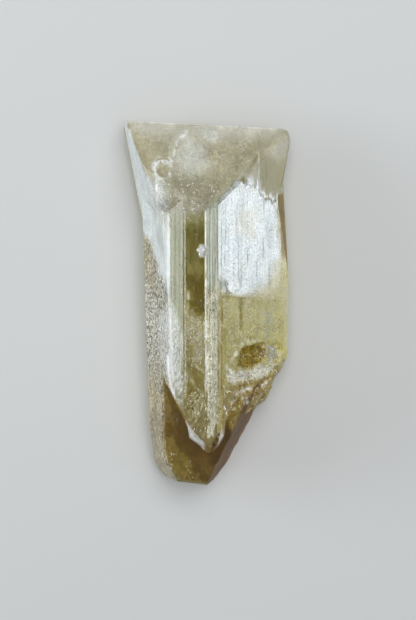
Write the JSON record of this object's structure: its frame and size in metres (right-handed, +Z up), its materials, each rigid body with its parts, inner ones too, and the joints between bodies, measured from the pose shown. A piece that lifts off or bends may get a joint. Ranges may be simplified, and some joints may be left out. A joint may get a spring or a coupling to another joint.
{
  "type": "danburite crystal",
  "caption": "Clear yellow-brown prismatic crystal with a frosted chisel head, striated faces and a broken root, lying on the flat of its back.",
  "frame": {"origin": "centre of the bounding box on the resting face", "axes": "+X across the crystal, +Y along it towards the chisel head, +Z up from the resting face to the front ridge"},
  "size_m": [0.028, 0.0622, 0.0177],
  "materials": {
    "danburite": "clear yellow-brown mineral with frosted head, etched and striated prism faces and a smoky root"
  },
  "bodies": {
    "root": {"danburite_crystal": "danburite"}
  },
  "joints": []
}
